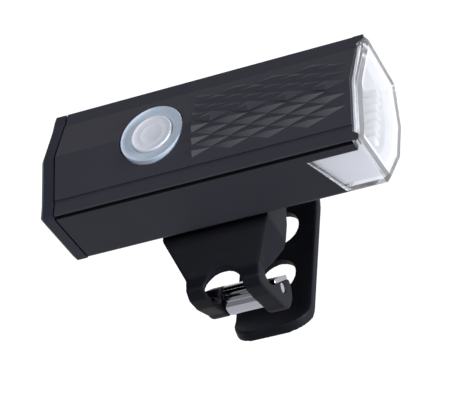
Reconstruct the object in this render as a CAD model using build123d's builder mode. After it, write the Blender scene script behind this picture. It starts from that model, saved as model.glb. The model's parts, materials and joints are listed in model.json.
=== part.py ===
"""Rechargeable bicycle headlight on a rubber strap mount.

Millimetres. The origin lies on the handlebar's axis, under the swivel.
+X is the way the light shines, and the handlebar lies along X as drawn.
+Y is the side that the strap comes down on, and +Z is up.
"""
import os
from math import atan2, cos, hypot, sin

from build123d import *

os.makedirs("parts", exist_ok=True)

# Housing, seen along the beam: drops are measured down from the roof's ridge, and rises up from the keel
wall = 2.0
panel_half_width = 10.95
panel_drop = 2.3
panel_step = 0.35
roof_half_width = 14.8
roof_drop = 2.7
flange_drop = 3.1
shoulder_half_width = 15.2
shoulder_drop = 3.9
groove_depth = 0.9
side_half_width = 14.4
side_rise = 4.7
keel_half_width = 4.6
side_corner_radius = 1.6
keel_corner_radius = 0.5

# Housing along the beam: how far the rear seam lies behind the swivel, and the front's windows
rear_seam_setback = 28.6
window_reach = 12.0
window_slant = 4.2
window_drop = 6.2
front_hook_length = 1.5
front_hook_width = 2.4
cover_lip_wall = 1.0
cover_lip_depth = 1.6

# Rear cap, its gasket and its screws
cap_thickness = 3.4
cap_edge_chamfer = 0.9
rear_gasket_thickness = 0.4
rear_gasket_inset = 0.45
cap_lip_length = 3.0
cap_lip_wall = 1.2
fit_gap = 0.15
rear_screw_spacing = 20.8
rear_screw_drop = 17.0
rear_screw_radius = 1.0
rear_screw_length = 9.5
rear_screw_head_radius = 1.9
rear_screw_head_height = 1.5
rear_screw_recess = 1.9
screw_drive_radius = 0.85
screw_drive_depth = 0.8
rear_boss_radius = 2.5
rear_boss_length = 6.2

# Charging socket and its rubber cover, which turns on two pins near its lower edge
socket_width = 7.6
socket_height = 2.6
socket_length = 5.4
socket_setback = 1.1
socket_shell = 0.35
socket_tongue_height = 0.7
socket_tongue_width = 5.2
socket_corner_radius = 0.7
socket_opening_width = 8.4
socket_opening_height = 3.6
port_recess_depth = 1.8
port_gap = 0.35
usb_cover_width = 12.0
usb_cover_height = 6.0
usb_cover_thickness = 1.5
usb_cover_radius = 0.9
usb_cover_inset = 0.1
usb_pin_radius = 0.4
usb_pin_length = 1.0
usb_pin_drop = 2.9
usb_nose_width = 6.6
usb_nose_height = 1.7
usb_nose_length = 0.9
usb_grip_width = 5.0
usb_grip_height = 0.9
usb_grip_thickness = 0.5

# Front lens, bezel and light source
lens_overhang = 2.3
lens_wall = 1.6
lens_edge_chamfer = 1.1
bezel_gap = 0.25
bezel_length = 14.8
bezel_rim = 1.3
bezel_bevel_depth = 1.6
bezel_bevel_inset = 1.0
bezel_floor = 1.6
bezel_pocket = 4.6
optic_centre_drop = 11.3
optic_flute_count = 7
optic_flute_pitch = 2.35
optic_flute_sides = 8
optic_height = 9.8
optic_rear_radius = 3.2
optic_flange = 0.8
optic_flange_thickness = 1.0
optic_gap = 0.1
optic_bowl_radius = 1.9
optic_bowl_depth = 1.9
led_base_width = 3.6
led_base_height = 0.6
led_dome_radius = 1.35
led_dome_height = 1.2
led_gap = 0.35
led_board_thickness = 1.2
heat_sink_thickness = 2.4
fin_count = 5
fin_length = 1.8
fin_thickness = 0.9
fin_spacing = 3.8
fin_height = 10.0

# Raised diamonds on the front half of the roof
diamond_half_length = 4.6
diamond_half_width = 1.56
diamond_height = 0.5
diamond_sink = 0.5
diamond_gap = 0.12
diamond_rows = 3
diamond_front_margin = 1.0
diamond_rear_margin = 0.6
diamond_side_margin = 0.9

# Push button, its skirt, the switch under it and the indicator lamps
button_setback = 4.6
button_bore_radius = 7.95
skirt_radius = 7.7
skirt_wall = 0.8
skirt_flange_radius = 8.6
skirt_flange_thickness = 0.7
skirt_flange_drop = 3.6
skirt_drop = 0.5
membrane_drop = 0.5
button_cap_radius = 4.8
button_cap_gap = 0.3
button_cap_thickness = 1.6
button_drop = 0.4
button_dish_radius = 2.7
button_dish_depth = 0.3
button_edge_chamfer = 0.3
button_stem_radius = 1.7
button_travel = 0.5
switch_width = 5.2
switch_height = 1.5
switch_floor = 0.3
plunger_float = 0.1
plunger_width = 2.6
plunger_rise = 0.9
running_gap = 0.05
lamp_length = 1.6
lamp_width = 0.8
lamp_height = 0.6
lamp_circle_radius = 5.7
lamp_count = 4

# Circuit board, cell and what holds them
board_thickness = 1.0
board_half_width = 11.4
board_front_gap = 1.15
board_drop = 5.6
board_setback = 1.1
ledge_length = 1.6
ledge_overlap = 1.0
ledge_depth = 4.0
ledge_inset = 9.0
cell_length = 40.0
cell_width = 20.0
cell_height = 8.0
cell_edge_radius = 2.4
cell_rear_space = 10.6
cell_front_space = 21.4
tray_wall = 0.7
tray_floor = 0.8
tray_lip_height = 3.0
tray_gap = 0.2
rib_thickness = 1.4
rib_spacing = 30.0
cell_tab_reach = 4.0
cell_tab_overlap = 1.6
pin_width = 1.0
pin_spacing = 4.0
pin_length = 6.6
pin_hole_width = 1.8
cell_tab_thickness = 0.3
cell_tab_width = 3.0
cell_tab_spacing = 9.0
pad_length = 26.0
pad_width = 15.0
pad_thickness = 2.2
chip_size = 5.0
chip_height = 0.9
coil_size = 4.0
coil_height = 1.0
part_gap = 2.0

# Swivel between the light and the mount
swivel_boss_radius = 6.0
swivel_boss_height = 6.3
swivel_foot_radius = 7.5
swivel_foot_height = 4.0
insert_radius = 3.0
insert_length = 4.6
knurl_depth = 0.35
knurl_width = 0.7
knurl_count = 12
swivel_screw_radius = 2.0
swivel_screw_head_radius = 3.6
swivel_screw_head_height = 2.2
hex_radius = 1.5
hex_depth = 1.3
swivel_clearance = 0.08
head_clearance = 0.3
washer_radius = 7.0
washer_thickness = 0.7
swivel_plate_radius = 8.2
swivel_plate_height = 5.7
swivel_plate_rim_sides = 8
swivel_plate_rim = 1.2
swivel_plate_rim_height = 1.5

# Rubber mount round the handlebar, seen along the bar
bar_diameter = 22.2
saddle_crown = 3.4
saddle_top_half_width = 10.1
saddle_half_length = 13.2
arm_half_length = 9.2
foot_reach = 9.2
foot_rise = 6.2
tool_hole_radius = 2.7
arm_elbow_reach = 22.9
arm_elbow_rise = 12.4
arm_shoulder_setback = 4.3
arm_shoulder_rise = 14.9
arm_knee_setback = 1.5
arm_knee_rise = 14.6
arm_outside_setback = 0.3
arm_outside_rise = 8.6
arm_inside_setback = 3.2
arm_inside_rise = 8.5
arm_crook_setback = 4.0
arm_crook_rise = 11.9
arm_soffit_reach = 15.6
arm_soffit_rise = 10.4
arm_heel_reach = 11.0
arm_heel_rise = 9.3
arm_corner_radius = 0.9
eye_setback = 6.7
eye_rise = 2.0
eye_radius = 5.0
near_eye_radius = 4.1
near_eye_lift = 0.9
near_eye_flat = 3.4
foot_half_length = 9.0
foot_draft_rise = 10.2
arm_window_half_width = 4.75
arm_window_top = 13.4
arm_window_depth = 8.4
arm_notch_setback = 0.5
arm_relief_half_width = 6.4
arm_relief_low_rise = 7.0
arm_skin = 1.5

# Chrome hook across the arm's two eyes
hook_radius = 3.5
hook_half_length = 4.6
hook_slot_width = 0.9
hook_slot_angle = 100.0
hook_leaf_end = 8.9
hook_leaf_outer = 3.7
hook_leaf_inner = 4.2
hook_leaf_thickness = 1.1
hook_leaf_offset = 1.4
hook_leaf_angle = 44.0
hook_lip_half_length = 3.4
hook_lip_height = 1.3
hook_lip_thickness = 0.9
hook_lip_angle = 128.0
hook_pin_radius = 1.2
hook_pin_half_length = 8.9
hook_pin_gap = 0.04

# Strap with its holes, as it hangs unhooked, and the socket that it swings in
strap_half_width = 9.8
strap_thickness = 2.6
root_reach = 17.6
root_rise = 16.0
root_radius = 2.4
root_gap = 0.3
root_wall = 1.2
root_corner_share = 0.7
strap_out_reach = 26.4
strap_out_rise = 6.0
strap_drop = 12.7
strap_toe_reach = 12.5
strap_tip_reach = 18.6
strap_tip_drop = 9.6
strap_bend_radius = 9.0
strap_corner_radius = 6.6
strap_hole_radius = 5.0
strap_first_hole_reach = 13.6
strap_hole_pitch = 14.4
strap_hole_count = 2
root_opening_low_angle = -88.0
root_opening_high_angle = 42.0

cut_overrun = 1.0

# Places worked out from the sizes above
bar_radius = bar_diameter / 2
plate_bottom_z = bar_radius + saddle_crown
saddle_top_height = plate_bottom_z + swivel_plate_height
keel_z = saddle_top_height + washer_thickness
tray_z = keel_z + swivel_boss_height + tray_gap
cell_z = tray_z + tray_floor
cell_top_z = cell_z + cell_height
board_z = cell_top_z + pad_thickness
board_top_z = board_z + board_thickness
ridge_z = board_top_z + board_drop
housing_height = ridge_z - keel_z
panel_z = ridge_z - panel_drop
strip_z = panel_z - panel_step
roof_edge_z = ridge_z - roof_drop
flange_z = ridge_z - flange_drop
shoulder_z = ridge_z - shoulder_drop
side_z = keel_z + side_rise
window_z = ridge_z - window_drop
lip_half_width = shoulder_half_width - wall - fit_gap
flange_half_width = roof_half_width + (shoulder_half_width - roof_half_width) * (
    (flange_drop - roof_drop) / (shoulder_drop - roof_drop))
roof_slope = roof_drop / roof_half_width
wall_inset = wall + bezel_gap
housing_length = cell_rear_space + cell_length + cell_front_space
housing_rear = -rear_seam_setback
housing_front = housing_rear + housing_length
cap_front = housing_rear - rear_gasket_thickness
cap_back = cap_front - cap_thickness
lens_front = housing_front + lens_overhang
window_rear = housing_front - window_reach
board_rear = housing_rear + board_setback
bezel_front = lens_front - lens_wall - bezel_gap
bezel_rear = bezel_front - bezel_length
optic_z = ridge_z - optic_centre_drop
optic_width = optic_flute_count * optic_flute_pitch
pocket_floor_x = bezel_front - bezel_pocket
led_x = bezel_rear + led_board_thickness
sink_x = bezel_rear - heat_sink_thickness
board_front = sink_x - board_front_gap
optic_back_x = pocket_floor_x - bezel_floor
cell_rear = housing_rear + cell_rear_space
cell_front = cell_rear + cell_length
cell_centre_x = (cell_rear + cell_front) / 2
button_x = -button_setback
button_top_z = ridge_z - button_drop
skirt_top_z = ridge_z - skirt_drop
flange_top_z = ridge_z - skirt_flange_drop
flange_bottom_z = flange_top_z - skirt_flange_thickness
membrane_z = skirt_top_z - membrane_drop
cap_bottom_z = button_top_z - button_cap_thickness
switch_top_z = board_top_z + switch_height
plunger_top_z = switch_top_z + plunger_rise
socket_x = board_rear - socket_setback
socket_mid_z = board_z - socket_height / 2
port_pin_x = cap_back + usb_cover_inset + usb_cover_thickness / 2
port_pin_z = socket_mid_z - usb_pin_drop
panel_lean = atan2(panel_drop, panel_half_width)
socket_radius = root_radius + root_gap + root_wall
swivel_head_z = plate_bottom_z + swivel_screw_head_height + head_clearance
rear_screw_z = ridge_z - rear_screw_drop
arm_shoulder_reach = arm_elbow_reach - arm_shoulder_setback
arm_knee_reach = arm_elbow_reach - arm_knee_setback
arm_outside_reach = arm_elbow_reach - arm_outside_setback
arm_inside_reach = arm_elbow_reach - arm_inside_setback
arm_crook_reach = arm_elbow_reach - arm_crook_setback
eye_reach = arm_elbow_reach - eye_setback


def both_sides(half):
    """Joins a half outline, listed from its top, to its mirror image."""
    return half + [(-y, z) for y, z in reversed(half) if y > 0]


def housing_outline(roof):
    """The housing's section with a given roof over its sides and keel."""
    return both_sides(roof + [
        (shoulder_half_width, shoulder_z),
        (side_half_width, side_z),
        (keel_half_width, keel_z),
    ])


def roof_inside(y):
    """Height of the roof's underside at a distance from the middle."""
    return ridge_z - wall - roof_slope * y


def cover_outline(bottom):
    """The cover's section, whose inner lips reach down to a given height."""
    inner = lip_half_width - cover_lip_wall
    return both_sides([
        (0, ridge_z),
        (panel_half_width, panel_z),
        (panel_half_width, strip_z),
        (roof_half_width, roof_edge_z),
        (flange_half_width, flange_z),
        (lip_half_width, flange_z),
        (lip_half_width, bottom),
        (inner, bottom),
        (inner, roof_inside(inner)),
        (0, roof_inside(0)),
    ])


plain_outline = housing_outline([(0, ridge_z), (roof_half_width, roof_edge_z)])
tub_outline = housing_outline([(0, ridge_z), (shoulder_half_width, ridge_z)])
cap_outline = housing_outline([(0, ridge_z), (panel_half_width, panel_z), (roof_half_width, roof_edge_z)])
lens_outline = housing_outline([(0, ridge_z - panel_step), (panel_half_width, strip_z),
                                (roof_half_width, roof_edge_z)])


def section(x, shape, inset=0.0):
    """A filled section of the housing at a place along the beam, drawn in by an inset."""
    with BuildSketch(Plane.YZ.offset(x)) as drawn:
        Polygon(*shape, align=None)
        if inset:
            offset(amount=-inset, kind=Kind.INTERSECTION)
    return drawn.sketch


def near_corner(part, y, z):
    """The part's edges along the beam that run near a corner of the section, on both sides."""
    return [
        edge for edge in part.edges().filter_by(Axis.X)
        if hypot(abs(edge.center().Y) - y, edge.center().Z - z) < wall / 2
    ]


# The space that the front lens fills, seen from the side
across = 2 * (shoulder_half_width + cut_overrun)
window_foot_x = window_rear + window_slant * (window_z - keel_z + cut_overrun) / (window_z - side_z)
with BuildSketch(Plane.XZ.offset(-across / 2)) as front_space:
    Polygon(
        (window_rear, window_z),
        (window_foot_x, keel_z - cut_overrun),
        (lens_front + cut_overrun, keel_z - cut_overrun),
        (lens_front + cut_overrun, ridge_z + cut_overrun),
        (housing_front, ridge_z + cut_overrun),
        (housing_front, window_z),
        align=None,
    )

# The roof's front corners, which hook round the lens
hook_corners = [
    (
        (housing_front - cut_overrun, side * flange_half_width),
        (housing_front + front_hook_length, side * flange_half_width),
        (housing_front + front_hook_length, side * (flange_half_width - front_hook_width / 2)),
        (housing_front, side * (flange_half_width - front_hook_width)),
        (housing_front - cut_overrun, side * (flange_half_width - front_hook_width)),
    )
    for side in (1, -1)
]

rear_screw_places = [(side * rear_screw_spacing / 2, rear_screw_z) for side in (1, -1)]

# Lower housing: a tub of the section with its swivel boss, ribs, ledges and screw bosses
ledge_in = board_half_width - ledge_overlap
ledge_out = side_half_width - wall / 2
ledge_mid = (ledge_in + ledge_out) / 2
with BuildPart() as lower_housing:
    extrude(section(housing_rear, tub_outline), amount=housing_length)
    fillet(near_corner(lower_housing, side_half_width, side_z), side_corner_radius)
    fillet(near_corner(lower_housing, keel_half_width, keel_z), keel_corner_radius)
    with BuildSketch(Plane.XY.offset(keel_z)):
        Circle(swivel_foot_radius)
    extrude(amount=swivel_foot_height)
    extrude(section(housing_rear, tub_outline, wall), amount=housing_length, mode=Mode.SUBTRACT)
    split(bisect_by=Plane.XY.offset(shoulder_z), keep=Keep.BOTTOM)
    with BuildSketch(Plane.XY.offset(keel_z)):
        Circle(swivel_boss_radius)
    extrude(amount=swivel_boss_height)
    for rib_x in (cell_centre_x - rib_spacing / 2, cell_centre_x + rib_spacing / 2):
        with BuildSketch(Plane.YZ.offset(rib_x - rib_thickness / 2)):
            Polygon(*plain_outline, align=None)
            offset(amount=-wall / 2, kind=Kind.INTERSECTION)
            with Locations((0, tray_z)):
                Rectangle(across, housing_height, align=(Align.CENTER, Align.MIN), mode=Mode.SUBTRACT)
        extrude(amount=rib_thickness)
    for ledge_x in (board_rear + ledge_inset, board_front - ledge_inset):
        with BuildSketch(Plane.YZ.offset(ledge_x - ledge_length / 2)):
            with Locations((ledge_mid, board_z), (-ledge_mid, board_z)):
                Rectangle(ledge_out - ledge_in, ledge_depth, align=(Align.CENTER, Align.MAX))
        extrude(amount=ledge_length)
    with BuildSketch(Plane.YZ.offset(housing_rear + cap_lip_length + fit_gap)):
        with Locations(*rear_screw_places):
            Circle(rear_boss_radius)
    extrude(amount=rear_boss_length)
    with BuildSketch(Plane.YZ.offset(housing_rear + cap_lip_length + fit_gap)):
        with Locations(*rear_screw_places):
            Circle(rear_screw_radius)
    extrude(amount=rear_boss_length, mode=Mode.SUBTRACT)
    with BuildSketch(Plane.XY.offset(keel_z)):
        Circle(swivel_screw_radius + running_gap)
    extrude(amount=swivel_boss_height, mode=Mode.SUBTRACT)
    with BuildSketch(Plane.XY.offset(keel_z + swivel_boss_height - insert_length)):
        Circle(insert_radius)
    extrude(amount=insert_length, mode=Mode.SUBTRACT)
    extrude(front_space.sketch, amount=across, mode=Mode.SUBTRACT)
lower_housing.part.label = "lower_housing"
export_step(lower_housing.part, "parts/lower_housing.step")

# One raised diamond on a foot that sinks into the roof
with BuildPart() as diamond:
    with BuildSketch() as rhombus:
        Polygon(
            (diamond_half_length - diamond_gap, 0),
            (0, diamond_half_width - diamond_gap),
            (diamond_gap - diamond_half_length, 0),
            (0, diamond_gap - diamond_half_width),
            align=None,
        )
    extrude(amount=-diamond_sink)
    loft(sections=[rhombus.sketch.face(), Vertex(0, 0, diamond_height)])
with BuildPart() as half_diamond:
    add(diamond.part)
    split(bisect_by=Plane.YZ, keep=Keep.TOP)

# The diamonds' places: alternate columns step sideways, the middle row straddles the ridge,
# and the column next to the button is cut in half
diamond_space = housing_front - diamond_front_margin - button_x - button_bore_radius - diamond_rear_margin
diamond_columns = int(diamond_space / diamond_half_length)
diamond_places = []
rear_column_x = housing_front - diamond_front_margin - (diamond_columns - 1 / 2) * diamond_half_length
for column in range(diamond_columns):
    x = housing_front - diamond_front_margin - (column + 1) * diamond_half_length
    first = diamond_half_width if column % 2 else 2 * diamond_half_width
    if first > diamond_half_width:
        diamond_places.append(Location((x, 0, ridge_z)))
    for side in (1, -1):
        facing = (0, side * sin(panel_lean), cos(panel_lean))
        slope = Plane(origin=(x, 0, ridge_z), x_dir=(1, 0, 0), z_dir=facing)
        for row in range(diamond_rows):
            reach = first + row * 2 * diamond_half_width
            if reach + diamond_half_width < panel_half_width - diamond_side_margin:
                diamond_places.append(slope.location * Location((0, side * reach, 0)))

# Upper cover: roof, inner lips, hooked front corners, button bore and diamonds
lip_rear = housing_rear + cap_lip_length + fit_gap
lip_length = sink_x - fit_gap - lip_rear
with BuildPart() as upper_cover:
    extrude(section(housing_rear, cover_outline(roof_inside(lip_half_width))), amount=housing_length)
    extrude(section(lip_rear, cover_outline(shoulder_z - cover_lip_depth)), amount=lip_length)
    with BuildSketch(Plane.XY.offset(flange_z)):
        for corner in hook_corners:
            Polygon(*corner, align=None)
    extrude(amount=roof_edge_z - flange_z)
    with BuildSketch(Plane.XY.offset(shoulder_z)):
        with Locations((button_x, 0)):
            Circle(button_bore_radius)
    extrude(amount=housing_height, mode=Mode.SUBTRACT)
    for place in diamond_places:
        with Locations(place):
            add(diamond.part if place.position.X > rear_column_x else half_diamond.part)
upper_cover.part.label = "upper_cover"
export_step(upper_cover.part, "parts/upper_cover.step")

# Seam gaskets between the cover and the housing, set back from the outside
with BuildPart() as seam_gasket:
    with BuildSketch(Plane.YZ.offset(housing_rear)):
        for side in (1, -1):
            with Locations((side * (shoulder_half_width - groove_depth + lip_half_width) / 2, shoulder_z)):
                Rectangle(shoulder_half_width - groove_depth - lip_half_width, flange_z - shoulder_z,
                          align=(Align.CENTER, Align.MIN))
    extrude(amount=housing_length)
seam_gasket.part.label = "seam_gasket"
export_step(seam_gasket.part, "parts/seam_gasket.step")

# Rear gasket, a thin frame that shows as a dark line
with BuildPart() as rear_gasket:
    extrude(section(cap_front, plain_outline, rear_gasket_inset), amount=rear_gasket_thickness)
    extrude(section(cap_front, plain_outline, wall), amount=rear_gasket_thickness, mode=Mode.SUBTRACT)
rear_gasket.part.label = "rear_gasket"
export_step(rear_gasket.part, "parts/rear_gasket.step")

# Rear cap with its inner lip, screw recesses and the charging port's recess
recess_width = usb_cover_width + 2 * port_gap
recess_low_z = port_pin_z - usb_cover_thickness / 2 - port_gap
recess_high_z = port_pin_z + usb_cover_height + port_gap
with BuildPart() as rear_cap:
    extrude(section(cap_back, cap_outline), amount=cap_thickness)
    chamfer(rear_cap.faces().sort_by(Axis.X)[0].edges(), cap_edge_chamfer)
    lip = section(cap_front, plain_outline, wall + fit_gap)
    lip -= section(cap_front, plain_outline, wall + fit_gap + cap_lip_wall)
    extrude(lip, amount=rear_gasket_thickness + cap_lip_length)
    with BuildSketch(Plane.YZ.offset(cap_back)):
        with Locations(*rear_screw_places):
            Circle(rear_screw_radius + running_gap)
    extrude(amount=cap_thickness + rear_gasket_thickness + cap_lip_length, mode=Mode.SUBTRACT)
    with BuildSketch(Plane.YZ.offset(cap_back)):
        with Locations(*rear_screw_places):
            Circle(rear_screw_head_radius + fit_gap)
    extrude(amount=rear_screw_recess, mode=Mode.SUBTRACT)
    with BuildSketch(Plane.YZ.offset(cap_back)):
        with Locations((0, (recess_low_z + recess_high_z) / 2)):
            RectangleRounded(recess_width, recess_high_z - recess_low_z, usb_cover_radius)
    extrude(amount=port_recess_depth, mode=Mode.SUBTRACT)
    with BuildSketch(Plane.YZ.offset(cap_back)):
        with Locations((0, socket_mid_z)):
            RectangleRounded(socket_opening_width, socket_opening_height, socket_corner_radius)
    extrude(amount=cap_thickness, mode=Mode.SUBTRACT)
    with BuildSketch(Plane.XZ.offset(-recess_width / 2 - usb_pin_length)):
        with Locations((port_pin_x, port_pin_z)):
            Rectangle(2 * (usb_pin_radius + running_gap), 2 * (usb_pin_radius + running_gap))
    extrude(amount=recess_width + 2 * usb_pin_length, mode=Mode.SUBTRACT)
rear_cap.part.label = "rear_cap"
export_step(rear_cap.part, "parts/rear_cap.step")

# Rear screws, one on each side of the charging port
with BuildPart() as rear_screws:
    head_x = cap_back + rear_screw_recess
    with BuildSketch(Plane.YZ.offset(head_x)):
        with Locations(*rear_screw_places):
            Circle(rear_screw_radius)
    extrude(amount=rear_screw_length)
    with BuildSketch(Plane.YZ.offset(head_x)):
        with Locations(*rear_screw_places):
            Circle(rear_screw_head_radius)
    extrude(amount=-rear_screw_head_height)
    with BuildSketch(Plane.YZ.offset(head_x - rear_screw_head_height)):
        with Locations(*rear_screw_places):
            RegularPolygon(screw_drive_radius, 6)
    extrude(amount=screw_drive_depth, mode=Mode.SUBTRACT)
rear_screws.part.label = "rear_screws"
export_step(rear_screws.part, "parts/rear_screws.step")

# Charging port cover: a plate that swings on two pins, with a nose behind and a grip in front
with BuildPart() as usb_cover:
    with BuildSketch(Plane.XZ.offset(-usb_cover_width / 2)):
        with Locations((port_pin_x, port_pin_z)):
            Circle(usb_cover_thickness / 2)
            Rectangle(usb_cover_thickness, usb_cover_height, align=(Align.CENTER, Align.MIN))
    extrude(amount=usb_cover_width)
    fillet(usb_cover.edges().filter_by(Axis.X).group_by(Axis.Z)[-1], usb_cover_radius - port_gap)
    with BuildSketch(Plane.XZ.offset(-usb_cover_width / 2 - usb_pin_length)):
        with Locations((port_pin_x, port_pin_z)):
            Circle(usb_pin_radius)
    extrude(amount=usb_cover_width + 2 * usb_pin_length)
    with BuildSketch(Plane.YZ.offset(port_pin_x)):
        with Locations((0, socket_mid_z)):
            RectangleRounded(usb_nose_width, usb_nose_height, socket_corner_radius)
    extrude(amount=usb_cover_thickness / 2 + usb_nose_length)
    with BuildSketch(Plane.YZ.offset(port_pin_x)):
        with Locations((0, port_pin_z + usb_cover_height - usb_grip_height)):
            RectangleRounded(usb_grip_width, usb_grip_height, usb_grip_height / 3)
    extrude(amount=-usb_cover_thickness / 2 - usb_grip_thickness)
usb_cover.part.label = "usb_cover"
export_step(usb_cover.part, "parts/usb_cover.step")

# Charging socket: a metal shell with a contact tongue, under the board's rear edge
with BuildPart() as usb_socket:
    with BuildSketch(Plane.YZ.offset(socket_x)):
        with Locations((0, socket_mid_z)):
            RectangleRounded(socket_width, socket_height, socket_corner_radius)
    extrude(amount=socket_length)
    with BuildSketch(Plane.YZ.offset(socket_x)):
        with Locations((0, socket_mid_z)):
            RectangleRounded(socket_width - 2 * socket_shell, socket_height - 2 * socket_shell,
                             socket_corner_radius - socket_shell)
            Rectangle(socket_tongue_width, socket_tongue_height, mode=Mode.SUBTRACT)
    extrude(amount=socket_length - 2 * socket_shell, mode=Mode.SUBTRACT)
usb_socket.part.label = "usb_socket"
export_step(usb_socket.part, "parts/usb_socket.step")

# Front lens: a clear shell with a bevelled face that also closes the side windows
with BuildPart() as front_lens:
    extrude(section(window_rear, lens_outline), amount=lens_front - window_rear)
    fillet(near_corner(front_lens, side_half_width, side_z), side_corner_radius)
    chamfer(front_lens.faces().sort_by(Axis.X)[-1].edges(), lens_edge_chamfer)
    extrude(section(window_rear, lens_outline, lens_wall), amount=lens_front - lens_wall - window_rear,
            mode=Mode.SUBTRACT)
    extrude(front_space.sketch, amount=across, mode=Mode.INTERSECT)
    with BuildSketch(Plane.XY.offset(flange_z)):
        for corner in hook_corners:
            Polygon(*corner, align=None)
    extrude(amount=housing_height, mode=Mode.SUBTRACT)
front_lens.part.label = "front_lens"
export_step(front_lens.part, "parts/front_lens.step")

# Bezel: the frame round the light, with a bevelled mouth, a window for the optic and a rear sleeve
bezel_inner = wall_inset + bezel_rim
with BuildPart() as bezel:
    extrude(section(bezel_rear, plain_outline, wall_inset), amount=bezel_length)
    extrude(section(pocket_floor_x, plain_outline, bezel_inner + bezel_bevel_inset), amount=bezel_pocket,
            mode=Mode.SUBTRACT)
    mouth = section(bezel_front, plain_outline, bezel_inner)
    throat = section(bezel_front - bezel_bevel_depth, plain_outline, bezel_inner + bezel_bevel_inset)
    loft(sections=[throat, mouth], mode=Mode.SUBTRACT)
    extrude(section(bezel_rear, plain_outline, bezel_inner), amount=optic_back_x - bezel_rear,
            mode=Mode.SUBTRACT)
    with BuildSketch(Plane.YZ.offset(optic_back_x)):
        with Locations((0, optic_z)):
            Rectangle(optic_width + 2 * optic_gap, optic_height + 2 * optic_gap)
    extrude(amount=bezel_floor, mode=Mode.SUBTRACT)
bezel.part.label = "bezel"
export_step(bezel.part, "parts/bezel.step")

# Optic: a clear block that gathers the lamp's light behind a row of upright flutes
funnel_x = led_x + led_base_height + led_gap
with BuildPart() as optic:
    with BuildSketch(Plane.YZ.offset(optic_back_x)):
        with Locations((0, optic_z)):
            Rectangle(optic_width, optic_height)
    extrude(amount=bezel_floor)
    with BuildSketch(Plane.XY.offset(optic_z - optic_height / 2)):
        for flute in range(optic_flute_count):
            with Locations((pocket_floor_x, (flute + 1 / 2) * optic_flute_pitch - optic_width / 2)):
                RegularPolygon(optic_flute_pitch / 2, optic_flute_sides)
    extrude(amount=optic_height)
    with BuildSketch(Plane.YZ.offset(optic_back_x - optic_flange_thickness)):
        with Locations((0, optic_z)):
            Rectangle(optic_width + 2 * optic_flange, optic_height + 2 * optic_flange)
    extrude(amount=optic_flange_thickness)
    with BuildSketch(Plane.XZ):
        Polygon(
            (funnel_x, optic_z + optic_bowl_radius),
            (funnel_x, optic_z + optic_rear_radius),
            (optic_back_x - optic_flange_thickness, optic_z + optic_height / 2),
            (optic_back_x - optic_flange_thickness, optic_z),
            (funnel_x + optic_bowl_depth, optic_z),
            (funnel_x + optic_bowl_depth, optic_z + optic_bowl_radius),
            align=None,
        )
    revolve(axis=Axis((0, 0, optic_z), (1, 0, 0)))
optic.part.label = "optic"
export_step(optic.part, "parts/optic.step")

# Lamp: its base and dome
with BuildPart() as led_emitter:
    with BuildSketch(Plane.YZ.offset(led_x)):
        with Locations((0, optic_z)):
            Rectangle(led_base_width, led_base_width)
    extrude(amount=led_base_height)
    with BuildSketch(Plane.YZ.offset(led_x + led_base_height)):
        with Locations((0, optic_z)):
            Circle(led_dome_radius)
    extrude(amount=led_dome_height)
    chamfer(led_emitter.faces().sort_by(Axis.X)[-1].edges(), led_dome_height / 2)
led_emitter.part.label = "led_emitter"
export_step(led_emitter.part, "parts/led_emitter.step")

# Lamp board, which fills the bezel's rear sleeve
with BuildPart() as led_board:
    extrude(section(bezel_rear, plain_outline, bezel_inner + fit_gap), amount=led_board_thickness)
led_board.part.label = "led_board"
export_step(led_board.part, "parts/led_board.step")

# Heat sink behind the lamp board, with upright fins
pin_z = board_top_z + pin_width / 2
with BuildPart() as heat_sink:
    extrude(section(sink_x, plain_outline, wall_inset), amount=heat_sink_thickness)
    with BuildSketch(Plane.YZ.offset(sink_x)):
        with Locations((0, board_z - part_gap / 2)):
            with GridLocations(fin_spacing, 0, fin_count, 1):
                Rectangle(fin_thickness, fin_height, align=(Align.CENTER, Align.MAX))
    extrude(amount=-fin_length)
    with BuildSketch(Plane.YZ.offset(sink_x)):
        with Locations((pin_spacing / 2, pin_z), (-pin_spacing / 2, pin_z)):
            Rectangle(pin_hole_width, pin_hole_width)
    extrude(amount=heat_sink_thickness, mode=Mode.SUBTRACT)
heat_sink.part.label = "heat_sink"
export_step(heat_sink.part, "parts/heat_sink.step")

# Main board
with BuildPart() as main_board:
    with BuildSketch(Plane.XY.offset(board_z)):
        with Locations((board_rear, 0)):
            Rectangle(board_front - board_rear, 2 * board_half_width, align=(Align.MIN, Align.CENTER))
    extrude(amount=board_thickness)
main_board.part.label = "main_board"
export_step(main_board.part, "parts/main_board.step")

# Board components: chips and a coil ahead of the switch, and the two lamp pins
with BuildPart() as board_components:
    first_x = button_x + skirt_flange_radius + part_gap
    chip_x = first_x + chip_size / 2
    with BuildSketch(Plane.XY.offset(board_top_z)):
        with Locations((chip_x, chip_size / 2 + part_gap), (chip_x, -chip_size / 2)):
            Rectangle(chip_size, chip_size)
    extrude(amount=chip_height)
    with BuildSketch(Plane.XY.offset(board_top_z)):
        with Locations((first_x + chip_size + part_gap + coil_size / 2, 0)):
            RectangleRounded(coil_size, coil_size, coil_size / 4)
    extrude(amount=coil_height)
    with BuildSketch(Plane.YZ.offset(bezel_rear)):
        with Locations((pin_spacing / 2, pin_z), (-pin_spacing / 2, pin_z)):
            Rectangle(pin_width, pin_width)
    extrude(amount=-pin_length)
board_components.part.label = "board_components"
export_step(board_components.part, "parts/board_components.step")

# Push switch with a square well for its plunger
with BuildPart() as tact_switch:
    with BuildSketch(Plane.XY.offset(board_top_z)):
        with Locations((button_x, 0)):
            Rectangle(switch_width, switch_width)
    extrude(amount=switch_height)
    with BuildSketch(Plane.XY.offset(board_top_z + switch_floor)):
        with Locations((button_x, 0)):
            Rectangle(plunger_width + 2 * running_gap, plunger_width + 2 * running_gap)
    extrude(amount=switch_height, mode=Mode.SUBTRACT)
tact_switch.part.label = "tact_switch"
export_step(tact_switch.part, "parts/tact_switch.step")

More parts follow.
